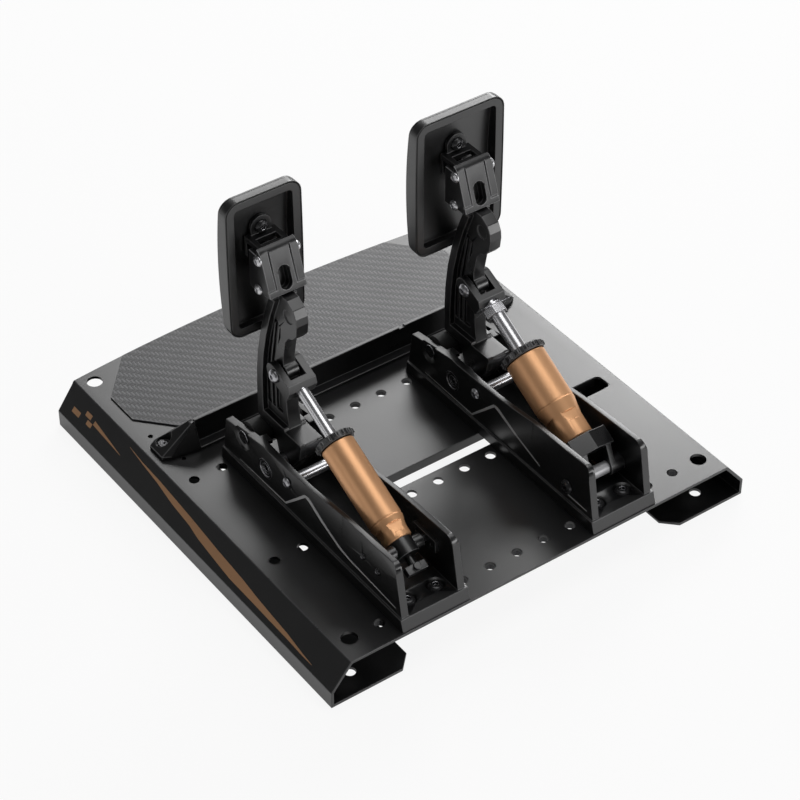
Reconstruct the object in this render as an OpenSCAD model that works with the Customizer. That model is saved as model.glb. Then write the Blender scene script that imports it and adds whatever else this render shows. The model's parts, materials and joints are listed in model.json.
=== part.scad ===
// Sim racing pedal set: a throttle and a brake on a bent steel base plate.
// +X is the driver's right, +Y points away from the driver, +Z is up.
// The origin lies on the floor under the middle of the base.

/* [Base plate] */
// Width over the side walls
base_w = 310.4; // [304:0.2:350]
// Length from the front edge to the middle of the heel edge
base_l = 314.6; // [312:0.2:350]
// Height of the top face above the floor
base_h = 29.2; // [26:0.2:45]
// Sheet thickness
sheet_t = 2; // [1.5:0.1:3]
// Sideways run of a sloped side wall
slope_w = 14.1; // [10:0.1:17]
// Drop of a sloped side wall
slope_drop = 17.3; // [12:0.1:20]
// Width of a flange turned in below
flange_w = 59.4; // [50:0.2:80]
// How far the heel edge bows out
heel_bow = 7.3; // [4:0.1:10]
// Corner cut on each flange
flange_cut = 9.2; // [4:0.1:12]
// Corner holes, in from the side wall's outer face
corner_in = 24.2; // [23:0.1:30]
// Corner holes, in from the front edge and the middle of the heel edge
corner_end = 16.2; // [14:0.1:22]
// Access hole in the top face over each corner bolt
access_d = 10.4; // [9:0.1:12]
// Corner bolt hole in the flange
mount_d = 7.2; // [6.4:0.1:9]

/* [Hole rows and slot] */
// Spacing of the holes along a row
hole_pitch = 20; // [19:0.5:22]
// Hole diameter
row_hole_d = 6.8; // [6.4:0.1:8]
// Front row, from the front edge
front_row = 16.2; // [15:0.1:20]
// Middle row, from the front edge
mid_row = 94.3; // [90:0.1:98]
// Rear row, from the front edge
rear_row = 182.1; // [176:0.1:184]
// Holes in the front row
front_row_n = 12; // [8:2:12]
// Middle of the slot, from the front edge
slot_row = 108.9; // [107:0.1:112]
// Length of the slot
slot_l = 200; // [160:1:230]
// Width of the slot
slot_w = 12.2; // [8:0.1:14]
// Depth of the lip bent down along the slot
slot_lip = 7; // [4:0.5:12]
// Corner radius of the slot
slot_r = 3; // [1:0.5:3.5]

/* [Heel mat and heel stop] */
// Mat thickness
mat_t = 1; // [0.6:0.1:2]
// Mat edge, in from the side bend
mat_side = 9.6; // [6:0.1:20]
// Front face of the heel stop, from the front edge
heel_row = 209; // [207:0.5:213]
// Height of the heel stop's wall
heel_wall_h = 19.6; // [12:0.2:26]
// Thickness of the heel stop
heel_t = 2.5; // [2:0.1:4]
// Depth of the heel stop's foot
heel_foot = 6.5; // [5:0.1:9]
// Heel stop's end, in from the side bend
heel_end_in = 4.5; // [3:0.1:8]

/* [Pedal places] */
// Throttle, in hole steps to the driver's right
throttle_step = 4; // [3:1:4]
// Brake, in hole steps to the driver's left
brake_step = 3; // [2:1:3]

/* [Bracket] */
// Length of the bracket's floor
bracket_l = 190.5; // [189:0.5:196]
// Gap from the plate's front edge to the bracket
bracket_front = 1; // [0.5:0.1:3]
// Width over the walls
bracket_w = 45; // [44:0.5:52]
// Wall thickness
wall_t = 5; // [4:0.1:5.5]
// Floor thickness
floor_t = 8; // [7:0.1:9]
// Floor's reach past each wall
floor_lip = 1.5; // [0:0.1:2.5]
// Wall height near the front
wall_h_front = 43.5; // [43:0.1:48]
// Wall height at the dip
wall_h_dip = 37.4; // [37:0.1:40]
// Wall height at the rear end
wall_h_rear = 32; // [30:0.1:36]
// Depth of the facet cut along the wall's upper edge
facet_in = 1.8; // [1:0.1:2.4]
// Floor bolt shank
bolt_d = 6; // [5:0.1:6.2]

/* [Pivots, measured from the front edge and from the plate] */
// Arm pivot from the front edge
pivot_in = 144.4; // [142:0.1:146]
// Arm pivot height
pivot_up = 21.8; // [21:0.1:23]
// Arm pivot pin
pivot_d = 7; // [6:0.1:8]
// Bearing outer diameter
bearing_d = 14; // [13:0.1:15]
// Rest pin from the front edge
rest_in = 168.4; // [168:0.1:170]
// Rest pin height
rest_up = 29.6; // [28:0.1:30]
// Rest pin diameter
rest_d = 9; // [7:0.1:10]
// Rubber roller on the rest pin
roller_d = 17; // [14:0.1:17]
// Stop rod from the front edge
stop_in = 120; // [118:0.1:120.5]
// Stop rod height
stop_up = 28.4; // [27:0.1:29]
// Stop rod diameter
stop_d = 7; // [6:0.1:7.4]
// Brake damper's lower pin from the front edge
low_in = 29; // [28.4:0.1:30]
// Brake damper's lower pin height
low_up = 18.2; // [18:0.1:19.4]
// Brake damper's lower pin diameter
low_d = 8; // [6:0.1:8.4]
// Throttle damper's lower pin from the front edge
throttle_low_in = 34.5; // [34:0.1:35.4]
// Throttle damper's lower pin height
throttle_low_up = 27.9; // [27.4:0.1:28.4]
// Throttle damper's lower pin diameter
throttle_low_d = 6; // [5:0.1:6.2]
// Fork bolt behind the arm pivot
fork_back = 4.6; // [4:0.1:6]
// Fork bolt above the arm pivot
fork_rise = 63.2; // [60:0.1:66]
// Fork bolt diameter
fork_bolt_d = 5; // [4:0.1:5.4]

/* [Arm] */
// Width of the arm's rear flange, foot and toe
arm_w = 16; // [14:0.1:18]
// Width of the arm's front flange and lug
arm_front_w = 8.6; // [7:0.1:8.8]
// Thickness of the web in the pocket
arm_web_t = 4.4; // [3:0.1:5.5]
// Clamp block's lower front edge above the pivot
clamp_rise = 122.7; // [120:0.1:135]
// Clamp block's lower front edge behind the pivot
clamp_back = 1.6; // [1:0.1:3]
// Backward tilt of the clamp block's front
clamp_tilt = 19.6; // [15:0.1:22]
// Height of the clamp block's front
clamp_h = 29.7; // [28:0.1:34]
// Width of the clamp block
clamp_w = 25.4; // [24:0.1:27]
// Thickness of the clamp block's walls
clamp_t = 4; // [3:0.1:4.4]

/* [Pads] */
// Width of the throttle pad
throttle_pad_w = 52.6; // [48:0.1:60]
// Height of the throttle pad
throttle_pad_h = 96.6; // [92:0.1:104]
// Width of the brake pad
brake_pad_w = 65.6; // [50:0.1:72]
// Height of the brake pad
brake_pad_h = 96.6; // [92:0.1:104]
// Lower edge of a pad below the clamp block's lower front edge
pad_drop = 39.8; // [37:0.1:43]
// Pad rim behind the clamp block's lower front edge
pad_back = 23.5; // [22.5:0.1:25]
// Width of the pad's rim
pad_rim = 6.2; // [4:0.1:7]
// Depth of the pad's hollow back
pad_hollow = 7.4; // [6.6:0.1:8]
// Thickness of the frame behind the hollow
pad_skin = 1.2; // [1:0.1:3]
// Thickness of the pad's front plate
pad_face_t = 1.9; // [1.6:0.1:4]
// Corner radius of the pad
pad_r = 9; // [6:0.5:12]
// How far the pad's sides bulge
pad_bulge = 0.4; // [0.2:0.1:2]

/* [Damper] */
// Throttle damper body diameter
throttle_body_d = 21.4; // [21:0.1:25]
// Brake damper body diameter
brake_body_d = 26.2; // [25.4:0.1:28]
// Body wall thickness
body_wall = 2.2; // [1.6:0.1:2.6]
// Mouth of the body above the lower pin
mouth_up = 82.4; // [80:0.1:84]
// Throttle rod diameter
throttle_rod_d = 7.5; // [6:0.1:8.5]
// Brake rod diameter
brake_rod_d = 9.6; // [8:0.1:10]
// Height of the adjuster ring
ring_h = 4.6; // [4:0.1:6]
// How far the adjuster ring stands out past the body
ring_out = 2.2; // [1.8:0.1:3]
// Lobes on the adjuster ring
ring_lobes = 14; // [10:1:18]
// Fork width
fork_w = 20; // [18.6:0.1:21]
// Gap between the fork's tines
fork_gap = 10.7; // [10.6:0.1:11.4]
// Fork height
fork_h = 12; // [10:0.1:13]
// Fork bar's front, down the rod from the bolt
fork_reach = 15.7; // [15:0.1:18]

/* [Hidden] */

// Fine steps for turned pieces and for round fasteners
turned = 64;
round_fn = 40;
cut = 0.1;          // overshoot of a cut past a face
gap = 0.3;          // gap between neighbours that move past each other
run_fit = 0.05;     // radial play of a shaft in its hole
link_play = 0.8;    // radial play of the fork bolt in the arm's lug

top_half = base_w / 2 - slope_w;
inner_w = bracket_w - 2 * wall_t;
throttle_x = throttle_step * hole_pitch;
brake_x = -brake_step * hole_pitch;

// Places in a pedal's own frame: y from the plate's front edge, z from the plate's top face
pivot = [-pivot_in, pivot_up];
rest = [-rest_in, rest_up];
stop = [-stop_in, stop_up];
low = [-low_in, low_up];
fork = [pivot[0] - fork_back, pivot[1] + fork_rise];
clamp = [pivot[0] - clamp_back, pivot[1] + clamp_rise];

damper_len = norm(fork - low);
throttle_low = [-throttle_low_in, throttle_low_up];
throttle_low_step = damper_len - norm(fork - throttle_low);
throttle_foot = fork + (throttle_low - fork) * damper_len / norm(fork - throttle_low);

// Heel edge: an arc whose bow is given at the side bends
heel_radius = (top_half * top_half + heel_bow * heel_bow) / (2 * heel_bow);
function heel_y(x) = -base_l + heel_radius - sqrt(heel_radius * heel_radius - x * x);

module at_plate() {
    translate([0, base_l / 2, base_h]) children();
}

module at_pedal(x) {
    at_plate() translate([x, 0, 0]) children();
}

// Lays a side view, drawn as y and z, across the width w about x
module side_view(w, x = 0) {
    translate([x, 0, 0]) rotate([90, 0, 90]) linear_extrude(w, center = true) children();
}

// A round bar along X through p, from x0 to x1
module cross_bar(p, d, x0, x1, fn = round_fn) {
    translate([x0, p[0], p[1]]) rotate([0, 90, 0]) cylinder(d = d, h = x1 - x0, $fn = fn);
}

module at_throttle() {
    $foot = throttle_foot;
    at_pedal(throttle_x) children();
}

module at_brake() {
    $foot = low;
    at_pedal(brake_x) children();
}

// Frame of the pedal's damper: z runs from its foot to the fork bolt, y is its upper side
module at_damper() {
    translate([0, $foot[0], $foot[1]])
        rotate([atan2($foot[0] - fork[0], fork[1] - $foot[1]), 0, 0]) children();
}

module rounded(r) {
    offset(r = r, $fn = 24) offset(delta = -r) children();
}

// Button-head socket screw along +Z: head above z = 0, shank below
module button_screw(d, len) {
    head_d = 1.75 * d;
    head_h = 0.55 * d;
    difference() {
        union() {
            translate([0, 0, -len]) cylinder(d = d, h = len + cut, $fn = round_fn);
            rotate_extrude($fn = round_fn) polygon([
                [0, 0], [head_d / 2, 0], [head_d / 2, head_h * 0.3], [head_d * 0.42, head_h * 0.7],
                [head_d * 0.28, head_h], [0, head_h]
            ]);
        }
        translate([0, 0, head_h * 0.35]) cylinder(d = 0.66 * d, h = head_h, $fn = 6);
    }
}

// The same screw along X at p, its head's seat at x; side is 1 or -1 for the head's direction
module side_screw(p, x, side, d, len) {
    translate([x, p[0], p[1]]) rotate([0, side * 90, 0]) button_screw(d, len);
}

// Base plate

module plate_section() {
    outer = base_w / 2;
    turn_in = outer - flange_w;
    knee = -slope_drop;
    difference() {
        polygon([
            [-top_half, 0], [top_half, 0], [outer, knee], [outer, -base_h],
            [-outer, -base_h], [-outer, knee]
        ]);
        offset(delta = -sheet_t) polygon([
            [-top_half, 0], [top_half, 0], [outer, knee], [outer, -base_h],
            [-outer, -base_h], [-outer, knee]
        ]);
        translate([-turn_in, -base_h - 1]) square([2 * turn_in, sheet_t + 2]);
    }
}

module plate_outline(steps = 24) {
    outer = base_w / 2;
    polygon(concat(
        [[-outer, 0], [outer, 0]],
        [for (i = [0 : steps]) let(x = outer * (1 - 2 * i / steps)) [x, heel_y(x)]]
    ));
}

module row_holes(y, first, last, d) {
    for (k = [first : last])
        translate([(k + 0.5) * hole_pitch, -y, -sheet_t - cut])
            cylinder(d = d, h = sheet_t + 2 * cut, $fn = round_fn);
}

module corner_holes(d, z) {
    x = base_w / 2 - corner_in;
    for (sx = [-x, x])
        for (y = [-corner_end, -base_l + corner_end])
            translate([sx, y, z - cut]) cylinder(d = d, h = sheet_t + 2 * cut, $fn = round_fn);
}

slot_x0 = -(top_half - 8.6);

module slot_cut() {
    translate([slot_x0, -slot_row - slot_w / 2, -sheet_t - cut])
        linear_extrude(sheet_t + 2 * cut)
            translate([slot_r, slot_r]) offset(r = slot_r, $fn = 24)
                square([slot_l - 2 * slot_r, slot_w - 2 * slot_r]);
}

module slot_lip_solid() {
    translate([slot_x0 + slot_r, -slot_row - slot_w / 2 - sheet_t, -slot_lip])
        cube([slot_l - 2 * slot_r, sheet_t, slot_lip - sheet_t / 2]);
}

module flange_corner_cuts() {
    inner = base_w / 2 - flange_w;
    heel_inner = heel_y(inner);
    for (sx = [-1, 1]) {
        translate([sx * inner, 0, -base_h - cut]) rotate([0, 0, 45])
            cube([flange_cut * sqrt(2), flange_cut * sqrt(2), 2 * sheet_t + 2 * cut], center = true);
        translate([sx * inner, heel_inner, -base_h - cut]) rotate([0, 0, 45])
            cube([flange_cut * sqrt(2), flange_cut * sqrt(2), 2 * sheet_t + 2 * cut], center = true);
    }
}

rear_last = floor((top_half - 7) / hole_pitch - 0.5);
rear_first = -brake_step - 1;
peg_hole_d = 3.4;

module peg_holes() {
    x = top_half - 10.7;
    for (sx = [-1, 1]) {
        translate([sx * x, -heel_row - 23.1, -sheet_t - cut])
            cylinder(d = peg_hole_d, h = sheet_t + 2 * cut, $fn = round_fn);
        translate([sx * (x - 5.4), -heel_row + 6.6, -sheet_t - cut])
            cylinder(d = peg_hole_d, h = sheet_t + 2 * cut, $fn = round_fn);
    }
}

module base_plate() {
    color("#26272a") at_plate() difference() {
        union() {
            intersection() {
                rotate([90, 0, 0]) linear_extrude(base_l) plate_section();
                translate([0, 0, -base_h - 1]) linear_extrude(base_h + 2) plate_outline();
            }
            slot_lip_solid();
        }
        corner_holes(access_d, -sheet_t);
        corner_holes(mount_d, -base_h);
        row_holes(front_row, -front_row_n / 2, front_row_n / 2 - 1, row_hole_d);
        row_holes(mid_row, rear_first, rear_last, row_hole_d);
        row_holes(rear_row, rear_first, rear_last, row_hole_d);
        slot_cut();
        flange_corner_cuts();
        peg_holes();
        heel_screw_places() translate([0, 0, -sheet_t - cut])
            cylinder(d = heel_screw_d, h = sheet_t + 2 * cut, $fn = round_fn);
    }
}

// Heel mat and heel stop

module heel_mat(steps = 12) {
    half = top_half - mat_side;
    front = -heel_row - heel_t - gap;
    rear_half = half - 28;
    rear = heel_y(rear_half) + 1;
    rear_side = rear + 0.327 * (front - rear);
    front_side = front - 0.409 * (front - rear);
    front_half = half - 36.5;
    color("#3a3b3e") at_plate() linear_extrude(mat_t) polygon(concat(
        [
            [-half, front_side], [-front_half, front], [front_half, front],
            [half, front_side], [half, rear_side]
        ],
        [for (i = [0 : steps]) let(x = rear_half * (1 - 2 * i / steps)) [x, heel_y(x) + 1]],
        [[-half, rear_side]]
    ));
}

heel_screw_d = 4;
heel_end = top_half - heel_end_in;
heel_tab_w = 18;
heel_shoulder = heel_end - 24;

module heel_screw_places() {
    for (sx = [-1, 1])
        translate([sx * (heel_end - 7.6), -heel_row - heel_t - 6.5, 0]) children();
}

module heel_stop_end() {
    back = -heel_row - heel_t;
    hull() {
        translate([heel_shoulder - 1, back, 0]) cube([1, heel_t, heel_wall_h]);
        translate([heel_shoulder - 1, back, 0]) cube([1, heel_t + heel_foot, heel_t]);
        translate([heel_end - 7, back - 14, 0]) cube([2, heel_tab_w + 2, heel_t]);
        translate([heel_end - 1, back - 11, 0]) cube([1, heel_tab_w - 4, heel_t]);
    }
}

module heel_stop() {
    color("#1b1c1e") at_plate() difference() {
        union() {
            translate([-heel_shoulder, -heel_row - heel_t, 0])
                cube([2 * heel_shoulder, heel_t, heel_wall_h]);
            translate([-heel_shoulder, -heel_row - cut, 0])
                cube([2 * heel_shoulder, heel_foot + cut, heel_t]);
            heel_stop_end();
            mirror([1, 0, 0]) heel_stop_end();
        }
        heel_screw_places() {
            translate([0, 0, -cut]) cylinder(d = heel_screw_d, h = heel_wall_h, $fn = round_fn);
            translate([0, 0, heel_t]) cylinder(d = 10, h = heel_wall_h, $fn = round_fn);
        }
        for (x = [-48, heel_shoulder - 1])
            translate([x, -heel_row - heel_t - cut, heel_wall_h - 1.2])
                cube([4, heel_t + 2 * cut, 2]);
    }
}

module heel_stop_screws() {
    color("#6c6e72") at_plate() heel_screw_places() difference() {
        union() {
            translate([0, 0, -6]) cylinder(d = heel_screw_d, h = 6 + heel_t + cut, $fn = round_fn);
            translate([0, 0, heel_t]) cylinder(d1 = 8.6, d2 = 7, h = 1.6, $fn = round_fn);
        }
        translate([0, 0, heel_t + 0.5]) cylinder(d = 2.6, h = 2, $fn = 6);
    }
}

// Bracket

module wall_outline() {
    front = -bracket_front;
    rear = front - bracket_l;
    polygon([
        [front - 3.4, floor_t - 1], [front - 9.2, wall_h_front - 5.5],
        [front - 10.4, wall_h_front - 2.6], [front - 12.4, wall_h_front - 0.8],
        [front - 15, wall_h_front], [front - 46, wall_h_front - 1.5],
        [front - 66, wall_h_front - 2.5], [front - 86, wall_h_dip + 1.3],
        [front - 101, wall_h_dip + 0.1], [front - 117, wall_h_dip],
        [-pivot_in - 1.6, wall_h_dip + 1.2], [rear + 4.7, wall_h_rear],
        [rear + 0.9, floor_t - 1]
    ]);
}

// Long tapered facet cut along the outer upper edge of a wall, as sections from front to rear:
// each has its depth, the height where the wall bends, and the cut's depth at its top
module wall_facet() {
    side = bracket_w / 2;
    front = -bracket_front;
    up = wall_h_front + 4;
    out = side + 1;
    sections = [
        [front + 1, wall_h_front - 6, facet_in * 1.67], [front - 64, wall_h_front - 19.5, facet_in * 1.4],
        [front - 105, wall_h_front - 21, facet_in * 1.67], [front - 139, wall_h_dip + 1.1, facet_in * 0.6]
    ];
    n = len(sections);
    points = [for (e = sections) each [[out, e[0], e[1]], [side, e[0], e[1]], [side - e[2], e[0], up], [out, e[0], up]]];
    sides = [
        for (i = [0 : n - 2], j = [0 : 3])
            let(a = 4 * i + j, b = 4 * i + (j + 1) % 4)
                each [[a, b, b + 4], [a, b + 4, a + 4]]
    ];
    ends = [[3, 2, 1, 0], [for (j = [0 : 3]) 4 * (n - 1) + j]];
    polyhedron(points = points, faces = concat(sides, ends), convexity = 4);
}

module bracket(low_pin, low_pin_d, sensor) {
    half = bracket_w / 2;
    front = -bracket_front;
    rear = front - bracket_l;
    floor_w = bracket_w + 2 * floor_lip;
    color("#202124") difference() {
        union() {
            side_view(floor_w) polygon([[front, 0], [front - 2.5, floor_t], [rear + 1, floor_t], [rear, 0]]);
            for (m = [0, 1]) mirror([m, 0, 0]) {
                side_view(wall_t, half - wall_t / 2) wall_outline();
                translate([half - wall_t - 4.3, -pivot_in - 11.6, wall_h_dip - 3.2])
                    cube([4.8, 7, 3]);
            }
        }
        wall_facet();
        mirror([1, 0, 0]) wall_facet();
        cross_bar(pivot, bearing_d, -half - 1, half + 1);
        cross_bar(rest, rest_d, -half - 1, half + 1);
        for (sx = [-1, 1])
            cross_bar(rest, roller_d, sx * half - 1.2, sx * half + 1.2);
        cross_bar(stop, stop_bolt_d, -half - 1, half + 1);
        cross_bar(low_pin, low_pin_d, -half - 1, sensor ? half - 2 : half + 1);
        if (sensor)
            for (p = sensor_screw_places)
                cross_bar(p, sensor_screw_d, -half - 1, half + 1);
        floor_bolt_places() {
            translate([0, 0, -cut]) cylinder(d = row_hole_d, h = floor_t + 1, $fn = round_fn);
            translate([0, 0, floor_t - 3]) cylinder(d = 12, h = 4, $fn = round_fn);
        }
    }
}

module floor_bolt_places() {
    for (x = [-0.5, 0.5])
        for (y = [-front_row, -rear_row])
            translate([x * hole_pitch, y, 0]) children();
}

floor_bolt_len = floor_t - 3 + sheet_t + 7;

module floor_bolts() {
    color("#2f3033") floor_bolt_places() translate([0, 0, floor_t - 3])
        button_screw(bolt_d, floor_bolt_len);
}

module floor_nuts() {
    color("#8d8f93") floor_bolt_places() translate([0, 0, -sheet_t - 5]) difference() {
        cylinder(d = 11.5, h = 5, $fn = 6);
        translate([0, 0, -cut]) cylinder(d = bolt_d, h = 5 + 2 * cut, $fn = round_fn);
    }
}

// Pivot, rest and stop

module pivot_bearings() {
    color("#3c3d40") for (sx = [-1, 1]) difference() {
        x0 = sx * (bracket_w - wall_t) / 2 - wall_t / 2;
        cross_bar(pivot, bearing_d, x0, x0 + wall_t);
        cross_bar(pivot, pivot_d + 2 * run_fit, x0 - 1, x0 + wall_t + 1);
        cross_bar(pivot, bearing_d - 3, x0 + (sx > 0 ? wall_t - 0.6 : -cut), x0 + (sx > 0 ? wall_t + 1 : 0.6));
    }
}

module pivot_pin() {
    half = bracket_w / 2 - 0.6;
    color("#141416") difference() {
        cross_bar(pivot, pivot_d, -half, half, turned);
        for (sx = [-1, 1])
            cross_bar(pivot, 4, sx * half - 2, sx * half + 2, 6);
    }
}

module pivot_spacers() {
    color("#77797c") for (sx = [-1, 1]) difference() {
        x0 = sx > 0 ? arm_w / 2 : -inner_w / 2 + gap;
        x1 = sx > 0 ? inner_w / 2 - gap : -arm_w / 2;
        cross_bar(pivot, pivot_d + 2.8, x0, x1);
        cross_bar(pivot, pivot_d, x0 - 1, x1 + 1);
    }
}

module rest_pin() {
    half = bracket_w / 2 - 0.4;
    color("#b9babd") cross_bar(rest, rest_d, -half, half, turned);
}

module rest_roller() {
    w = inner_w / 2 - gap;
    color("#1a1a1b") difference() {
        cross_bar(rest, roller_d, -w, w);
        cross_bar(rest, rest_d, -w - 1, w + 1);
    }
}

stop_bolt_d = 4;

module stop_rod() {
    color("#c4c5c8") difference() {
        cross_bar(stop, stop_d, -inner_w / 2, inner_w / 2, turned);
        cross_bar(stop, stop_bolt_d, -inner_w, inner_w);
    }
}

module stop_rod_bolts() {
    color("#2f3033") for (sx = [-1, 1])
        side_screw(stop, sx * bracket_w / 2, sx, stop_bolt_d, wall_t + 10);
}

// Arm

heel_z = rest[1] + roller_d / 2 + gap;

module arm_rear_edge(inset) {
    p = pivot;
    c = clamp;
    polygon([
        [p[0] - 27.9, heel_z], [p[0] - 28.3, p[1] + 35.2], [p[0] - 27.6, p[1] + 51.2],
        [p[0] - 25.6, p[1] + 68.2], [p[0] - 21.6, p[1] + 86.2], [c[0] - 15, c[1] - 20],
        [c[0] - 9.2, c[1] - 5], [c[0] - 9.2 + inset, c[1] - 5],
        [c[0] - 15 + inset, c[1] - 20], [p[0] - 21.6 + inset, p[1] + 86.2],
        [p[0] - 25.6 + inset, p[1] + 68.2], [p[0] - 27.6 + inset, p[1] + 51.2],
        [p[0] - 28.3 + inset, p[1] + 35.2], [p[0] - 27.9 + inset, heel_z]
    ]);
}

// Whole side view of the arm from the heel over the hooked neck to the toe
module arm_outline() {
    p = pivot;
    c = clamp;
    polygon([
        [p[0] - 27.9, heel_z], [p[0] - 28.3, p[1] + 35.2], [p[0] - 27.6, p[1] + 51.2],
        [p[0] - 25.6, p[1] + 68.2], [p[0] - 21.6, p[1] + 86.2], [c[0] - 15, c[1] - 20],
        [c[0] - 9.2, c[1] - 5],
        [c[0] - 6, c[1] - 1.6], [c[0] + 4, c[1] - 2.4], [c[0] + 10, c[1] - 6],
        [c[0] + 12.7, c[1] - 11], [c[0] + 13.2, c[1] - 16], [c[0] + 12.2, c[1] - 23.5],
        [c[0] + 8.5, c[1] - 28], [c[0] + 4, c[1] - 30], [c[0] + 0.4, c[1] - 35],
        [p[0] - 3.9, p[1] + 74], [p[0] - 1.2, p[1] + 32], [p[0] + 0.5, p[1] + 22.2],
        [p[0] + 18.2, p[1] + 22.2], [p[0] + 15.6, p[1] + 10.2], [p[0] + 7, p[1] - 1],
        [p[0], p[1] - 6], [p[0] - 6, p[1]], [p[0] - 8, p[1] + 8],
        [p[0] - 12.6, heel_z]
    ]);
}

// Pocket between the flanges, open to both sides
module arm_pocket() {
    p = pivot;
    c = clamp;
    polygon([
        [p[0] - 22, p[1] + 30], [p[0] - 21.6, p[1] + 51], [p[0] - 19.6, p[1] + 68],
        [p[0] - 15.6, p[1] + 86], [c[0] - 9.2, c[1] - 21], [c[0] - 4, c[1] - 27],
        [c[0] - 4.4, c[1] - 34], [p[0] - 12.4, p[1] + 72], [p[0] - 12.2, p[1] + 53],
        [p[0] - 6.4, p[1] + 46], [p[0] - 6, p[1] + 30]
    ]);
}

module arm_ribs() {
    p = pivot;
    for (x = [-18.6, -14.2])
        translate([x, 0]) polygon([
            [p[0], p[1] + 28], [p[0], p[1] + 60], [p[0] + 6.5, clamp[1] - 26],
            [p[0] + 8, clamp[1] - 26], [p[0] + 1.5, p[1] + 60], [p[0] + 1.5, p[1] + 28]
        ]);
}

// The arm's head inside the clamp block, from the front wall back to rear
module head_outline(rear) {
    c = clamp;
    s = sin(clamp_tilt);
    k = cos(clamp_tilt);
    d = clamp_t;
    polygon([
        [c[0] - d * k - 1, c[1] - 6], [c[0] - d * k, c[1] - d * s],
        [c[0] - d * k - head_h * s, head_top],
        [rear, head_top], [rear, c[1] - 3.2], [c[0] - 12, c[1] - 6]
    ]);
}

clamp_top = clamp[1] + clamp_h * cos(clamp_tilt);
clamp_rear = clamp[0] - 21.4;
head_w = clamp_w - 2 * clamp_t;
head_h = clamp_h - 6;
head_top = clamp[1] - clamp_t * sin(clamp_tilt) + head_h * cos(clamp_tilt);
lug_d = 10.8;
groove_x = 7.2;
groove_w = 0.9;
seam = 0.7;
tilt_t = 3.6;
tilt_w = 20.6;
tilt_flange = 2.4;
clamp_shoulder = clamp[0] - clamp_h * sin(clamp_tilt) - 3.4;
tilt_front = clamp_shoulder - cut;
tilt_z = clamp_top - tilt_t - 1;

module arm() {
    color("#1d1e20") difference() {
        union() {
            side_view(arm_w) rounded(1.2) arm_rear_edge(6);
            side_view(arm_front_w) rounded(1) arm_outline();
            side_view(arm_w) rounded(1.5) intersection() {
                arm_outline();
                translate([pivot[0] - 40, pivot[1] - 20]) square([80, 44]);
            }
            side_view(head_w) head_outline(clamp_rear);
            cross_bar(pivot, 13, -arm_w / 2, arm_w / 2, turned);
            cross_bar(fork, lug_d, -arm_front_w / 2, arm_front_w / 2, turned);
            side_view(arm_front_w) polygon([
                [fork[0] - 9, fork[1] - 8], [fork[0] - 8, fork[1] + lug_d / 2],
                [fork[0], fork[1] + lug_d / 2], [fork[0] + lug_d / 2, fork[1]], [fork[0], fork[1] - 6]
            ]);
        }
        for (sx = [-1, 1]) difference() {
            side_view(10, sx * (arm_web_t / 2 + 5)) rounded(1.5) arm_pocket();
            side_view(arm_front_w) arm_ribs();
        }
        for (sx = [-1, 1])
            translate([sx * (arm_front_w / 2 - 0.3), 0, 0])
                cross_bar([clamp[0] + 4.6, clamp[1] - 13.4], 9, -0.5, 0.5);
        cross_bar(pivot, pivot_d, -arm_w, arm_w, turned);
        cross_bar(fork, fork_bolt_d + 2 * link_play, -arm_w, arm_w);
        for (q = clamp_screw_places)
            cross_bar(q, clamp_screw_d, -arm_w, arm_w);
        clamp_slot(clamp_t + 4);
    }
}

// Pad clamp, tilt plate and pad

clamp_screw_d = 4;
clamp_screw_places = [
    [clamp[0] - 11, clamp_top - 6.7],
    [clamp[0] - 11.4, clamp[1] + 0.9]
];

// Frame on the clamp block's front face: x across, y up the face, z out of it
module at_clamp_face() {
    translate([0, clamp[0], clamp[1]]) rotate([90 - clamp_tilt, 0, 180]) children();
}

module clamp_slot(depth) {
    slot_d = 8.2;
    low_end = 6;
    high_end = 13;
    at_clamp_face() translate([0, 0, -depth]) {
        for (y = [low_end, high_end])
            translate([0, y, 0]) cylinder(d = slot_d, h = depth + 1, $fn = round_fn);
        translate([-slot_d / 2, low_end, 0]) cube([slot_d, high_end - low_end, depth + 1]);
    }
}

module clamp_side() {
    c = clamp;
    s = sin(clamp_tilt);
    k = cos(clamp_tilt);
    polygon([
        [c[0], c[1]], [c[0] - (clamp_h - 3) * s, c[1] + (clamp_h - 3) * k],
        [c[0] - clamp_h * s - 1.6, clamp_top - 0.6], [clamp_shoulder, clamp_top],
        [clamp_shoulder, tilt_z], [clamp_rear, tilt_z],
        [clamp_rear, c[1] - 2.2], [clamp_rear + 4, c[1] - 2.2], [c[0] - 4, c[1] - 0.6]
    ]);
}

module pad_clamp() {
    color("#55575b") difference() {
        side_view(clamp_w) clamp_side();
        side_view(head_w) head_outline(clamp_rear - 1);
        side_view(head_w) polygon([
            [clamp[0] - clamp_t, clamp[1] - 1], [clamp[0] - clamp_t, clamp[1] - 5],
            [clamp_rear - 1, clamp[1] - 5], [clamp_rear - 1, head_top], [clamp[0] - 9, clamp[1]]
        ]);
        clamp_slot(clamp_t + 4);
        at_clamp_face() for (sx = [-1, 1]) {
            translate([sx * groove_x - groove_w / 2, 3.7, -groove_w]) cube([groove_w, clamp_h, 2 * groove_w]);
            translate([sx > 0 ? groove_x : -clamp_w, 3.7, -groove_w])
                cube([clamp_w - groove_x, groove_w, 2 * groove_w]);
        }
        for (q = clamp_screw_places)
            cross_bar(q, clamp_screw_d, -clamp_w, clamp_w);
    }
}

module clamp_screws() {
    color("#a9abae") for (sx = [-1, 1])
        for (q = clamp_screw_places)
            side_screw(q, sx * clamp_w / 2, sx, clamp_screw_d, clamp_t + 4);
}

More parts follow.
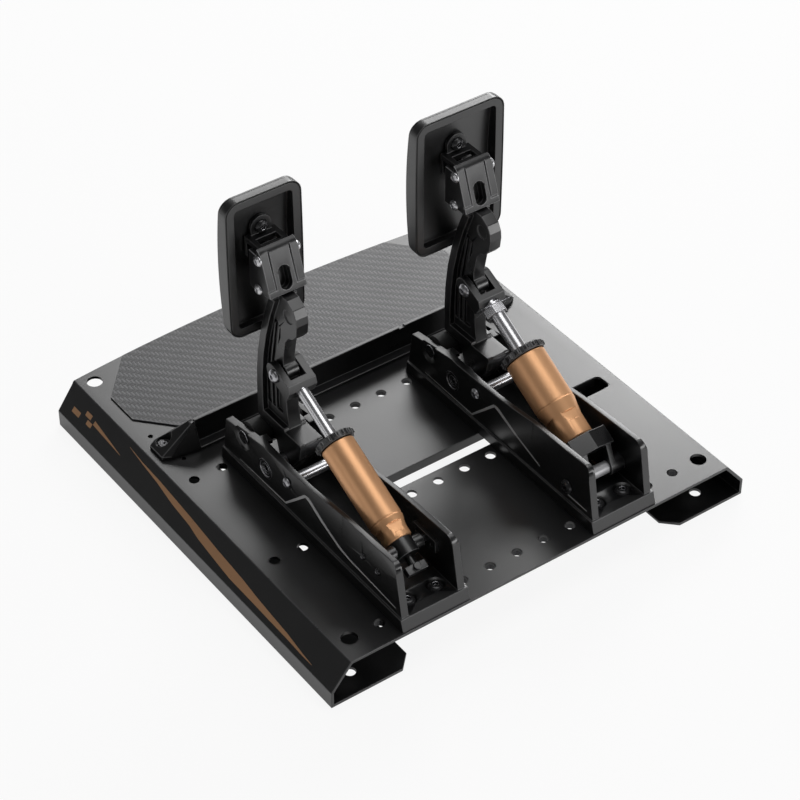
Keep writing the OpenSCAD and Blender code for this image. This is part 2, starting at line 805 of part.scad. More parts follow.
pad_plane = clamp[0] - pad_back;
pad_floor = pad_plane - pad_hollow;
pad_seat = pad_floor + 1.5;
pad_bolt_in = pad_skin - 0.2;
pad_crown_r = 340;
grip_step = 9;
pad_bolt_d = 5;
pad_bolt_places = [clamp_top + 3.5, clamp_top - 10];

// Height of the middle of a pad
function pad_mid(h) = clamp[1] - pad_drop + h / 2;

// How far the crown falls back at z from the pad's middle
function crown_fall(z) = pad_crown_r - sqrt(pad_crown_r * pad_crown_r - z * z);

module tilt_plate() {
    ear_d = 14;
    ear_t = tilt_flange;
    color("#303134") difference() {
        union() {
            translate([-tilt_w / 2, pad_seat, tilt_z])
                cube([tilt_w, tilt_front - pad_seat, tilt_t]);
            translate([-tilt_w / 2, pad_seat, tilt_z - 10]) cube([tilt_w, ear_t, 10 + cut]);
            translate([0, pad_seat, pad_bolt_places[0]]) rotate([-90, 0, 0])
                cylinder(d = ear_d, h = ear_t, $fn = turned);
            translate([-ear_d / 2, pad_seat, tilt_z]) cube([ear_d, ear_t, pad_bolt_places[0] - tilt_z]);
        }
        translate([-6.8, tilt_front - 9, tilt_z - 1]) cube([13.6, 6.6, tilt_t + 2]);
        for (z = pad_bolt_places)
            translate([0, pad_seat - 1, z]) rotate([-90, 0, 0])
                cylinder(d = pad_bolt_d, h = ear_t + 2, $fn = round_fn);
    }
}

module pad_bolts() {
    color("#4a4b4e") for (z = pad_bolt_places)
        translate([0, pad_seat + tilt_flange, z]) rotate([-90, 0, 0])
            button_screw(pad_bolt_d, tilt_flange + pad_bolt_in);
}

// Rounded outline whose long sides bulge, as points from the bottom right corner round
module pad_outline(w, h, steps = 8) {
    r = pad_r;
    bulge_at = function(z) pad_bulge * (1 - pow(2 * z / h, 2));
    half = w / 2 - pad_bulge;
    right = [for (i = [0 : steps]) let(z = -h / 2 + h * i / steps) [half + bulge_at(z), z]];
    offset(r = r, $fn = 32) offset(delta = -r)
        polygon(concat(right, [for (i = [steps : -1 : 0]) [-right[i][0], right[i][1]]]));
}

// Stands an outline of x and z upright about mid, its back at y and its front t nearer the driver
module upright(y, t, mid) {
    translate([0, y, mid]) rotate([90, 0, 0]) linear_extrude(t) children();
}

// Side view of the space behind a crown whose middle touches y
module crown_outline(y, h, mid, steps = 24) {
    half = h / 2 + 1;
    polygon(concat(
        [[pad_plane + 2, mid - half], [pad_plane + 2, mid + half]],
        [for (i = [steps : -1 : 0]) let(z = half * (2 * i / steps - 1)) [y + crown_fall(z), mid + z]]
    ));
}

module pad_frame(w, h) {
    mid = pad_mid(h);
    color("#232427") difference() {
        intersection() {
            upright(pad_plane, pad_hollow + pad_skin, mid) pad_outline(w, h);
            side_view(w + 2) crown_outline(pad_floor - pad_skin, h, mid);
        }
        difference() {
            intersection() {
                upright(pad_plane + 1, pad_hollow + 1, mid) offset(delta = -pad_rim) pad_outline(w, h);
                side_view(w + 2) crown_outline(pad_floor, h, mid);
            }
            for (z = pad_bolt_places)
                translate([0, pad_floor - cut, z]) rotate([-90, 0, 0])
                    cylinder(d = 12, h = pad_seat - pad_floor + cut, $fn = round_fn);
        }
        upright(pad_plane + 1, 1 + seam, mid) difference() {
            offset(delta = -seam / 2) pad_outline(w, h);
            offset(delta = -1.5 * seam) pad_outline(w, h);
        }
        for (z = pad_bolt_places)
            translate([0, pad_seat - pad_bolt_in, z]) rotate([-90, 0, 0])
                cylinder(d = pad_bolt_d, h = pad_hollow, $fn = round_fn);
    }
}

module pad_face(w, h) {
    mid = pad_mid(h);
    back = pad_floor - pad_skin;
    front = back - pad_face_t;
    grips = floor((h - 30) / grip_step);
    color("#2a2b2e") difference() {
        intersection() {
            upright(pad_plane, pad_plane - front, mid) offset(delta = -0.3) pad_outline(w, h);
            side_view(w + 2) difference() {
                crown_outline(front, h, mid);
                crown_outline(back, h, mid);
            }
        }
        for (i = [0 : grips]) {
            z = (i - grips / 2) * grip_step;
            translate([0, front + crown_fall(z) - 0.5, mid + z]) rotate([0, 90, 0])
                cylinder(d = 2.4, h = w - 22, center = true, $fn = round_fn);
        }
    }
}

// Fork, rod and ring, in the damper's frame

fork_front = damper_len - fork_reach;

module fork_clevis(rod_d) {
    half_h = fork_h / 2;
    bar = 7.2;
    end_r = half_h - 0.4;
    end_at = [-0.9, damper_len + 3.4];
    color("#2b2c2f") at_damper() difference() {
        union() {
            side_view(fork_w) polygon([
                [-half_h + 0.5, fork_front], [half_h - 3.5, fork_front], [half_h, fork_front + 3.5],
                end_at + end_r * [cos(5), sin(5)], end_at + end_r * [-cos(3), sin(3)]
            ]);
            translate([-fork_w / 2, end_at[0], end_at[1]]) rotate([0, 90, 0])
                cylinder(r = end_r, h = fork_w, $fn = turned);
        }
        translate([-fork_gap / 2, -fork_h, fork_front + bar])
            cube([fork_gap, 2 * fork_h, fork_reach + fork_h]);
        translate([-fork_w, 0, damper_len]) rotate([0, 90, 0])
            cylinder(d = fork_bolt_d, h = 2 * fork_w, $fn = round_fn);
        translate([0, 0, fork_front - 1]) cylinder(d = rod_d - 1, h = bar + 2, $fn = turned);
    }
}

module fork_bolt() {
    head_x = fork_w / 2;
    color("#9b9da0") {
        at_damper() translate([head_x, 0, damper_len]) rotate([0, 90, 0])
            button_screw(fork_bolt_d, fork_w - 0.5);
    }
}

module push_rod(rod_d, body_d) {
    bore = body_d - 2 * body_wall;
    color("#c9cacd") at_damper() rotate_extrude($fn = turned) polygon([
        [0, piston_z], [bore / 2 - run_fit, piston_z], [bore / 2 - run_fit, piston_z + piston_h],
        [rod_d / 2, piston_z + piston_h], [rod_d / 2, fork_front], [rod_d / 2 - 0.5, fork_front],
        [rod_d / 2 - 0.5, fork_front + 7], [0, fork_front + 7]
    ]);
}

piston_h = 7;
piston_z = mouth_up - 22;
guide_h = 8;

module lock_nut(rod_d) {
    af = 13;
    color("#c9cacd") at_damper() translate([0, 0, fork_front - 7.2]) difference() {
        union() {
            cylinder(d = af * 1.1547, h = 5.4, $fn = 6);
            translate([0, 0, 5.4]) cylinder(d = af, h = 1.8, $fn = round_fn);
        }
        translate([0, 0, -cut]) cylinder(d = rod_d, h = 8, $fn = turned);
    }
}

module adjuster_ring(body_d) {
    spigot = body_d - 5;
    outer = body_d + 2 * ring_out;
    lobe = PI * outer / ring_lobes * 0.52;
    color("#18191b") at_damper() translate([0, 0, mouth_up + gap]) difference() {
        union() {
            cylinder(d = outer - 3, h = ring_h, $fn = turned);
            for (i = [0 : ring_lobes - 1])
                rotate([0, 0, i * 360 / ring_lobes]) translate([outer / 2 - lobe / 2, 0, 0.8])
                    cylinder(d = lobe, h = ring_h - 1.6, $fn = 24);
        }
        translate([0, 0, -cut]) cylinder(d = spigot + 2 * run_fit, h = ring_h + 2 * cut, $fn = turned);
    }
}

// Turned sleeve: bore from the mouth down to floor_z, outside necked and flatted at the foot
module damper_sleeve(body_d, rod_d, taper_z, neck_z, foot_z, neck_d) {
    bore = body_d - 2 * body_wall;
    spigot = body_d - 5;
    spring_z = foot_z + 5;
    color("#b57f55") at_damper() difference() {
        union() {
            rotate_extrude($fn = turned) polygon([
                [0, foot_z], [neck_d / 2 - 0.6, foot_z], [neck_d / 2, foot_z + 0.6], [neck_d / 2, neck_z],
                [body_d / 2, taper_z], [body_d / 2, taper_z + 0.7], [body_d / 2 - 0.4, taper_z + 0.9],
                [body_d / 2 - 0.4, taper_z + 1.3], [body_d / 2, taper_z + 1.5],
                [body_d / 2, mouth_up - 0.6], [body_d / 2 - 0.6, mouth_up],
                [spigot / 2, mouth_up], [spigot / 2, mouth_up + ring_h - 0.6], [0, mouth_up + ring_h - 0.6]
            ]);
        }
        rotate_extrude($fn = turned) polygon([
            [0, spring_z], [neck_d / 2 - body_wall, spring_z], [neck_d / 2 - body_wall, neck_z - 1],
            [bore / 2, taper_z], [bore / 2, mouth_up - guide_h - 1],
            [rod_d / 2 + run_fit, mouth_up - guide_h + 2], [rod_d / 2 + run_fit, mouth_up + ring_h],
            [0, mouth_up + ring_h]
        ]);
        for (a = [0, 90, 180, 270])
            rotate([0, 0, a]) translate([neck_d / 2 - 0.7, -body_d, neck_z - 2.4])
                cube([body_d, 2 * body_d, 6]);
    }
}

// A wound wire spring along z, its end turns closed; sides and steps set its facets
module wound_spring(mean_r, wire, turns, len, steps = 14, sides = 6) {
    closed = 1.2 * wire;
    rise = (len - wire - 2 * closed) / (turns - 2);
    height = function(t) t < 1 ? t * closed : t > turns - 1 ? len - wire - (turns - t) * closed
        : closed + (t - 1) * rise;
    rings = turns * steps;
    pts = [
        for (i = [0 : rings], j = [0 : sides - 1])
            let(t = i / steps, a = 360 * t, s = 360 * j / sides, r = mean_r + wire / 2 * cos(s))
                [r * cos(a), r * sin(a), wire / 2 + height(t) + wire / 2 * sin(s)]
    ];
    walls = [
        for (i = [0 : rings - 1], j = [0 : sides - 1])
            let(k = (j + 1) % sides, p = i * sides, q = (i + 1) * sides)
                each [[p + j, p + k, q + j], [q + j, p + k, q + k]]
    ];
    ends = [[for (j = [sides - 1 : -1 : 0]) j], [for (j = [0 : sides - 1]) rings * sides + j]];
    polyhedron(points = pts, faces = concat(walls, ends), convexity = 6);
}

// Throttle damper's foot

sensor_t = 1.6;
sensor_screw_d = 2.5;
t_foot_z = 14.1;
t_taper_z = 27.2;
t_neck_z = 20.4;
t_neck_d = 18;
t_spring_z = t_foot_z + 5;
collar_low = 3.8;
boss_d = 2 * (t_foot_z - throttle_low_step) - 0.2;
magnet_t = 2.5;
magnet_x = inner_w / 2 - sensor_t - 1;

// Black collar that swings on the lower pin, with a boss on each side
module collar() {
    half = magnet_x - magnet_t;
    color("#161719") at_damper() difference() {
        union() {
            translate([0, 0, collar_low]) cylinder(d = 15.6, h = t_foot_z - collar_low, $fn = turned);
            translate([-half, 0, throttle_low_step]) rotate([0, 90, 0])
                cylinder(d = boss_d, h = 2 * half, $fn = round_fn);
        }
        translate([-inner_w, 0, throttle_low_step]) rotate([0, 90, 0])
            cylinder(d = throttle_low_d + 2 * run_fit, h = 2 * inner_w, $fn = turned);
    }
}

// End block below the collar, with its clamp screw on top
module rod_end() {
    block_w = 13.6;
    color("#1a1b1d") at_damper() {
        translate([0, 0, collar_low - 6 - cut]) cylinder(d = 5.2, h = 6 + cut, $fn = round_fn);
        translate([-block_w / 2, -2.4, collar_low - 11]) cube([block_w, 4.6, 5.2]);
        translate([0, 2, collar_low - 8.4]) rotate([-90, 0, 0]) cylinder(d = 4.6, h = 2.6, $fn = round_fn);
    }
}

// Cross pin of a damper's foot, with a button head past one wall
module lower_pin(p, d, head_side, far_in) {
    half = bracket_w / 2;
    color("#c4c5c8") {
        cross_bar(p, d, head_side < 0 ? -half : -half + far_in,
            head_side < 0 ? half - far_in : half, turned);
        side_screw(p, head_side * half, head_side, 0.675 * d, 1);
    }
}

// Angle sensor on the throttle bracket

sensor_mid = throttle_low - [0.5, 0];
sensor_screw_places = [sensor_mid + [-7.2, 0.6], sensor_mid + [7.2, -0.6]];

module sensor_board() {
    x = inner_w / 2 - sensor_t / 2;
    color("#1f4a33") difference() {
        side_view(sensor_t, x) translate(sensor_mid - [11, 5]) rounded(1.5) square([22, 10]);
        for (p = sensor_screw_places)
            cross_bar(p, sensor_screw_d, x - 3, x + 3);
        cross_bar(throttle_low, throttle_low_d + 1, x - 3, x + 3);
    }
}

module sensor_magnet() {
    color("#8a8c90") difference() {
        cross_bar(throttle_low, boss_d, magnet_x - magnet_t, magnet_x);
        cross_bar(throttle_low, throttle_low_d + 0.6, magnet_x - magnet_t - 1, magnet_x + 1);
    }
}

module sensor_screws() {
    color("#3a3b3e") for (sx = [-1, 1])
        for (p = sensor_screw_places)
            side_screw(p, sx * bracket_w / 2, sx, sensor_screw_d, wall_t + sensor_t);
}

// Plate inside the far wall, in which the lower pin is seated
module pin_plate() {
    t = 2.4;
    x = -inner_w / 2 + t / 2;
    color("#17181a") difference() {
        side_view(t, x) translate(sensor_mid - [11.2, 4.6]) rounded(1) square([22.4, 9.2]);
        for (p = sensor_screw_places)
            cross_bar(p, sensor_screw_d, x - 3, x + 3);
        cross_bar(throttle_low, throttle_low_d, x - 3, x + 3, turned);
    }
}

// Brake damper's foot

b_foot_z = 22.4;
b_taper_z = 47;
b_neck_z = 35.6;
b_neck_d = 22.2;
cell_w = 28;
cell_low = 9.2;
cell_top = b_foot_z - 1.3;
cheek_t = 3.6;
cheek_in = 7.2;
cheek_r = 5.8;

// Ridged sensor block with a slot between two cheeks, a round spigot above and a boss at each wall
module load_cell() {
    half = cell_w / 2;
    boss = inner_w / 2 - gap;
    color("#17181a") at_damper() difference() {
        union() {
            translate([0, 0, cell_low]) linear_extrude(cell_top - cell_low) polygon([
                [-half, -9], [-half + 2, -11], [half - 2, -11], [half, -9],
                [half, 13], [0.5, 16.5], [-0.5, 16.5], [-half, 13]
            ]);
            translate([0, 0, cell_low]) cylinder(d = b_neck_d - 1.6, h = b_foot_z - cell_low, $fn = turned);
            for (sx = [-1, 1])
                side_view(cheek_t, sx * (cheek_in + cheek_t / 2)) polygon([
                    [13.6, cell_low + cut], 0.94 * cheek_r * [cos(40), -sin(40)],
                    0.94 * cheek_r * [-cos(20), -sin(20)], [-9, cell_low + cut]
                ]);
            translate([-boss, 0, 0]) rotate([0, 90, 0]) cylinder(r = cheek_r, h = 2 * boss, $fn = turned);
        }
        translate([-cheek_in, -half, -half]) cube([2 * cheek_in, half + 9, half + cell_low + 5]);
        translate([-boss - 1, 0, 0]) rotate([0, 90, 0])
            cylinder(d = low_d + 2 * run_fit, h = 2 * boss + 2, $fn = turned);
    }
}

elastomer_n = 3;

module elastomers(body_d) {
    z0 = b_foot_z + 5;
    len = (piston_z - z0) / elastomer_n;
    d = b_neck_d - 2 * body_wall - 0.8;
    color("#4a4644") at_damper() for (i = [0 : elastomer_n - 1])
        translate([0, 0, z0 + i * len]) {
            cylinder(d = d, h = len - 1.2, $fn = turned);
            translate([0, 0, len - 1.2]) cylinder(d = d - 4, h = 1.2, $fn = turned);
        }
}

// Nodes

module throttle_bracket() { at_throttle() bracket(throttle_low, throttle_low_d, true); }
module throttle_floor_bolts() { at_throttle() floor_bolts(); }
module throttle_floor_nuts() { at_throttle() floor_nuts(); }
module throttle_pivot_bearings() { at_throttle() pivot_bearings(); }
module throttle_pivot_pin() { at_throttle() pivot_pin(); }
module throttle_pivot_spacers() { at_throttle() pivot_spacers(); }
module throttle_rest_pin() { at_throttle() rest_pin(); }
module throttle_rest_roller() { at_throttle() rest_roller(); }
module throttle_stop_rod() { at_throttle() stop_rod(); }
module throttle_stop_rod_bolts() { at_throttle() stop_rod_bolts(); }
module throttle_arm() { at_throttle() arm(); }
module throttle_pad_clamp() { at_throttle() pad_clamp(); }
module throttle_clamp_screws() { at_throttle() clamp_screws(); }
module throttle_tilt_plate() { at_throttle() tilt_plate(); }
module throttle_pad_bolts() { at_throttle() pad_bolts(); }
module throttle_pad_frame() { at_throttle() pad_frame(throttle_pad_w, throttle_pad_h); }
module throttle_pad_face() { at_throttle() pad_face(throttle_pad_w, throttle_pad_h); }
module throttle_fork() { at_throttle() fork_clevis(throttle_rod_d); }
module throttle_fork_bolt() { at_throttle() fork_bolt(); }
module throttle_push_rod() { at_throttle() push_rod(throttle_rod_d, throttle_body_d); }
module throttle_adjuster_ring() { at_throttle() adjuster_ring(throttle_body_d); }
module throttle_damper_body() {
    at_throttle()
        damper_sleeve(throttle_body_d, throttle_rod_d, t_taper_z, t_neck_z, t_foot_z, t_neck_d);
}
module throttle_spring() {
    color("#9a9ca0") at_throttle() at_damper() translate([0, 0, t_spring_z])
        wound_spring(5, 2, 8, piston_z - t_spring_z);
}
module throttle_collar() { at_throttle() collar(); }
module throttle_rod_end() { at_throttle() rod_end(); }
module throttle_lower_pin() { at_throttle() lower_pin(throttle_low, throttle_low_d, -1, 2); }
module throttle_sensor_board() { at_throttle() sensor_board(); }
module throttle_sensor_magnet() { at_throttle() sensor_magnet(); }
module throttle_pin_plate() { at_throttle() pin_plate(); }
module throttle_sensor_screws() { at_throttle() sensor_screws(); }

module brake_bracket() { at_brake() bracket(low, low_d, false); }
module brake_floor_bolts() { at_brake() floor_bolts(); }
module brake_floor_nuts() { at_brake() floor_nuts(); }
module brake_pivot_bearings() { at_brake() pivot_bearings(); }
module brake_pivot_pin() { at_brake() pivot_pin(); }
module brake_pivot_spacers() { at_brake() pivot_spacers(); }
module brake_rest_pin() { at_brake() rest_pin(); }
module brake_rest_roller() { at_brake() rest_roller(); }
module brake_stop_rod() { at_brake() stop_rod(); }
module brake_stop_rod_bolts() { at_brake() stop_rod_bolts(); }
module brake_arm() { at_brake() arm(); }
module brake_pad_clamp() { at_brake() pad_clamp(); }
module brake_clamp_screws() { at_brake() clamp_screws(); }
module brake_tilt_plate() { at_brake() tilt_plate(); }
module brake_pad_bolts() { at_brake() pad_bolts(); }
module brake_pad_frame() { at_brake() pad_frame(brake_pad_w, brake_pad_h); }
module brake_pad_face() { at_brake() pad_face(brake_pad_w, brake_pad_h); }
module brake_fork() { at_brake() fork_clevis(brake_rod_d); }
module brake_fork_bolt() { at_brake() fork_bolt(); }
module brake_push_rod() { at_brake() push_rod(brake_rod_d, brake_body_d); }
module brake_lock_nut() { at_brake() lock_nut(brake_rod_d); }
module brake_adjuster_ring() { at_brake() adjuster_ring(brake_body_d); }
module brake_damper_body() {
    at_brake()
        damper_sleeve(brake_body_d, brake_rod_d, b_taper_z, b_neck_z, b_foot_z, b_neck_d);
}
module brake_elastomers() { at_brake() elastomers(brake_body_d); }
module brake_load_cell() { at_brake() load_cell(); }
module brake_lower_pin() { at_brake() lower_pin(low, low_d, 1, 0); }

base_plate();
heel_mat();
heel_stop();
heel_stop_screws();
throttle_bracket();
throttle_floor_bolts();
throttle_floor_nuts();
throttle_pivot_bearings();
throttle_pivot_pin();
throttle_pivot_spacers();
throttle_rest_pin();
throttle_rest_roller();
throttle_stop_rod();
throttle_stop_rod_bolts();
throttle_arm();
throttle_pad_clamp();
throttle_clamp_screws();
throttle_tilt_plate();
throttle_pad_bolts();
throttle_pad_frame();
throttle_pad_face();
throttle_fork();
throttle_fork_bolt();
throttle_push_rod();
throttle_adjuster_ring();
throttle_damper_body();
throttle_spring();
throttle_collar();
throttle_rod_end();
throttle_lower_pin();
throttle_sensor_board();
throttle_sensor_magnet();
throttle_pin_plate();
throttle_sensor_screws();
brake_bracket();
brake_floor_bolts();
brake_floor_nuts();
brake_pivot_bearings();
brake_pivot_pin();
brake_pivot_spacers();
brake_rest_pin();
brake_rest_roller();
brake_stop_rod();
brake_stop_rod_bolts();
brake_arm();
brake_pad_clamp();
brake_clamp_screws();
brake_tilt_plate();
brake_pad_bolts();
brake_pad_frame();
brake_pad_face();
brake_fork();
brake_fork_bolt();
brake_push_rod();
brake_lock_nut();
brake_adjuster_ring();
brake_damper_body();
brake_elastomers();
brake_load_cell();
brake_lower_pin();
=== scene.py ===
import bpy
import json
import math
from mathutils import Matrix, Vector

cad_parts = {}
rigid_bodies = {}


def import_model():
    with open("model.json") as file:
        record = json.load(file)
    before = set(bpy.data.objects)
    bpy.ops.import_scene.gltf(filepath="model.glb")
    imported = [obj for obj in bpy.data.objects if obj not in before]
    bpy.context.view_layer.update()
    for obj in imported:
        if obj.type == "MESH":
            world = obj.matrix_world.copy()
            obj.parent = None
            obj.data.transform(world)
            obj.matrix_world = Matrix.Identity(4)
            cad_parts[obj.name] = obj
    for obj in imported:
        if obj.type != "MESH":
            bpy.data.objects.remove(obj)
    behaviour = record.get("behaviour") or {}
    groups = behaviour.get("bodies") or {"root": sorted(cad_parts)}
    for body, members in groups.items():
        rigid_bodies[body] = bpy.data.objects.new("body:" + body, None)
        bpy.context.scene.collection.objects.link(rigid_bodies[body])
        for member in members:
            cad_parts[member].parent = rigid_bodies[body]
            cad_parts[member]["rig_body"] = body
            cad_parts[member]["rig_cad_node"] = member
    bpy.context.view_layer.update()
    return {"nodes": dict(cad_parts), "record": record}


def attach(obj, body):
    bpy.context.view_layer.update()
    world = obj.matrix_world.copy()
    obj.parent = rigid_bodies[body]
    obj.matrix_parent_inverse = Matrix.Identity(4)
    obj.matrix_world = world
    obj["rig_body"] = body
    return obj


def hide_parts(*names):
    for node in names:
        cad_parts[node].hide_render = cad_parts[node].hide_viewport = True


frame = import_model()
print("frame loaded with", len(frame["nodes"]), "nodes")

mm = 0.001
mergeDistance = 0.004
flatAngle = 0.5
smoothAngle = 46
bodyOf = {n: b for b, names in frame["record"]["behaviour"]["bodies"].items() for n in names}


# modelling helpers

def deselectAll():
    for o in bpy.context.selected_objects:
        o.select_set(False)


def pick(obj):
    deselectAll()
    obj.select_set(True)
    bpy.context.view_layer.objects.active = obj
    return obj


def placeInMesh(obj):
    pick(obj)
    bpy.ops.object.transform_apply(location=True, rotation=True, scale=True)
    return obj


def runInEdit(obj, *steps):
    pick(obj)
    bpy.ops.object.mode_set(mode="EDIT")
    bpy.ops.mesh.select_all(action="SELECT")
    for step in steps:
        step()
    bpy.ops.object.mode_set(mode="OBJECT")


def addModifier(obj, kind, **values):
    pick(obj)
    m = obj.modifiers.new(kind.lower(), kind)
    for key, value in values.items():
        setattr(m, key, value)
    bpy.ops.object.modifier_apply(modifier=m.name)


# Marks the sharp edges that are at least shortest millimetres long, so holes keep theirs
def markLongEdges(obj, shortest, angle):
    mesh = obj.data
    sides = {}
    for face in mesh.polygons:
        for key in face.edge_keys:
            sides.setdefault(key, []).append(face.normal)
    weights = mesh.attributes.new("bevel_weight_edge", "FLOAT", "EDGE")
    for edge in mesh.edges:
        near = sides.get(tuple(sorted(edge.vertices)), [])
        a, b = (mesh.vertices[i].co for i in edge.vertices)
        sharp = len(near) == 2 and near[0].angle(near[1], 0) > math.radians(angle)
        weights.data[edge.index].value = 1.0 if sharp and (a - b).length > shortest * mm else 0.0


def softenEdges(obj, width, segments=2, angle=35, edgeSlot=-1, shortest=0):
    if shortest:
        markLongEdges(obj, shortest, angle)
    addModifier(
        obj, "BEVEL", width=width * mm, segments=segments, limit_method="WEIGHT" if shortest else "ANGLE",
        angle_limit=math.radians(angle), material=edgeSlot, use_clamp_overlap=False,
    )
    pick(obj)
    bpy.ops.object.shade_smooth_by_angle(angle=math.radians(smoothAngle))
    addModifier(obj, "WEIGHTED_NORMAL", mode="FACE_AREA", weight=80, keep_sharp=True)


# A piece worked over its CAD solid: merged, its flat faces joined and its edges rounded. The rounded edge
# strips take edgeMaterial; where that is lighter than the piece's finish, it is a painted highlight along
# the edges
def workOver(node, material, edgeMaterial=None, width=0.4, shortest=0, segments=2, angle=35):
    pick(frame["nodes"][node])
    bpy.ops.object.duplicate()
    obj = bpy.context.view_layer.objects.active
    obj.name = node + "_piece"
    obj.data.name = obj.name
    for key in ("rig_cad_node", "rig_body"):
        if key in obj:
            del obj[key]
    obj.parent = None
    runInEdit(
        obj,
        lambda: bpy.ops.mesh.remove_doubles(threshold=mergeDistance * mm),
        lambda: bpy.ops.mesh.tris_convert_to_quads(
            face_threshold=math.radians(flatAngle), shape_threshold=math.radians(180)),
    )
    obj.data.materials.clear()
    obj.data.materials.append(material)
    obj.data.materials.append(edgeMaterial or material)
    softenEdges(obj, width, segments, angle, 1, shortest)
    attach(obj, bodyOf[node])
    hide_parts(node)
    return obj


# shader helpers

def newGroup(name, inputs, outputs):
    tree = bpy.data.node_groups.new(name, "ShaderNodeTree")
    for label, kind, value in inputs:
        s = tree.interface.new_socket(name=label, in_out="INPUT", socket_type="NodeSocket" + kind)
        if kind != "Vector":
            s.default_value = value
    for label, kind in outputs:
        tree.interface.new_socket(name=label, in_out="OUTPUT", socket_type="NodeSocket" + kind)
    return tree, tree.nodes.new("NodeGroupInput"), tree.nodes.new("NodeGroupOutput")


def addNode(tree, kind, values=None, **settings):
    n = tree.nodes.new("ShaderNode" + kind)
    for key, value in settings.items():
        setattr(n, key, value)
    for key, value in (values or {}).items():
        n.inputs[key].default_value = value
    return n


def link(tree, a, b):
    tree.links.new(a, b)


def calc(tree, operation, a, b=None, c=None, clamp=False):
    n = addNode(tree, "Math", operation=operation, use_clamp=clamp)
    for i, v in enumerate((a, b, c)):
        if v is None:
            continue
        if isinstance(v, (int, float)):
            n.inputs[i].default_value = v
        else:
            link(tree, v, n.inputs[i])
    return n.outputs[0]


# Fine grain with slow clouds of gloss, for coats and cast faces
def buildGrain():
    tree, inn, out = newGroup(
        "surfaceGrain",
        [("Place", "Vector", None), ("Grain Size", "Float", 0.5), ("Cloud Size", "Float", 40.0),
         ("Roughness", "Float", 0.4), ("Gloss Spread", "Float", 0.08)],
        [("Shade", "Float"), ("Roughness", "Float"), ("Height", "Float")],
    )
    fine = addNode(tree, "TexNoise", {"Detail": 3.0, "Roughness": 0.6})
    slow = addNode(tree, "TexNoise", {"Detail": 4.0, "Roughness": 0.55})
    for noise, label in ((fine, "Grain Size"), (slow, "Cloud Size")):
        link(tree, inn.outputs["Place"], noise.inputs["Vector"])
        link(tree, calc(tree, "DIVIDE", 1000.0, inn.outputs[label]), noise.inputs["Scale"])
    spread = inn.outputs["Gloss Spread"]
    offset = calc(tree, "MULTIPLY", calc(tree, "SUBTRACT", slow.outputs["Fac"], 0.5), spread)
    speck = calc(tree, "MULTIPLY", calc(tree, "SUBTRACT", fine.outputs["Fac"], 0.5), spread)
    clouded = calc(tree, "ADD", inn.outputs["Roughness"], calc(tree, "MULTIPLY", offset, 2.0))
    rough = calc(tree, "ADD", clouded, speck, clamp=True)
    link(tree, slow.outputs["Fac"], out.inputs["Shade"])
    link(tree, rough, out.inputs["Roughness"])
    link(tree, fine.outputs["Fac"], out.inputs["Height"])
    return tree


# A two-over-two twill of flat tows; one tow is Tow Width millimetres
def buildTwill():
    tree, inn, out = newGroup(
        "twillWeave",
        [("Place", "Vector", None), ("Tow Width", "Float", 2.0)],
        [("Warp", "Float"), ("Height", "Float"), ("Fibre", "Float")],
    )
    split = addNode(tree, "SeparateXYZ")
    link(tree, inn.outputs["Place"], split.inputs[0])
    size = calc(tree, "DIVIDE", 1000.0, inn.outputs["Tow Width"])
    u = calc(tree, "MULTIPLY", split.outputs["X"], size)
    v = calc(tree, "MULTIPLY", split.outputs["Y"], size)
    steps = calc(tree, "ADD", calc(tree, "FLOOR", u), calc(tree, "FLOOR", v))
    phase = calc(tree, "FLOORED_MODULO", steps, 4.0)
    warp = calc(tree, "LESS_THAN", phase, 1.5)
    roundU = calc(tree, "ABSOLUTE", calc(tree, "SINE", calc(tree, "MULTIPLY", u, math.pi)))
    roundV = calc(tree, "ABSOLUTE", calc(tree, "SINE", calc(tree, "MULTIPLY", v, math.pi)))
    mixHeight = addNode(tree, "Mix", data_type="FLOAT")
    link(tree, warp, mixHeight.inputs["Factor"])
    link(tree, roundV, mixHeight.inputs["A"])
    link(tree, roundU, mixHeight.inputs["B"])
    fibreU = addNode(tree, "TexNoise", {"Scale": 1.0, "Detail": 1.0}, noise_dimensions="1D")
    fibreV = addNode(tree, "TexNoise", {"Scale": 1.0, "Detail": 1.0}, noise_dimensions="1D")
    link(tree, calc(tree, "MULTIPLY", u, 9.0), fibreU.inputs["W"])
    link(tree, calc(tree, "MULTIPLY", v, 9.0), fibreV.inputs["W"])
    mixFibre = addNode(tree, "Mix", data_type="FLOAT")
    link(tree, warp, mixFibre.inputs["Factor"])
    link(tree, fibreV.outputs["Fac"], mixFibre.inputs["A"])
    link(tree, fibreU.outputs["Fac"], mixFibre.inputs["B"])
    link(tree, warp, out.inputs["Warp"])
    link(tree, mixHeight.outputs["Result"], out.inputs["Height"])
    link(tree, mixFibre.outputs["Result"], out.inputs["Fibre"])
    return tree


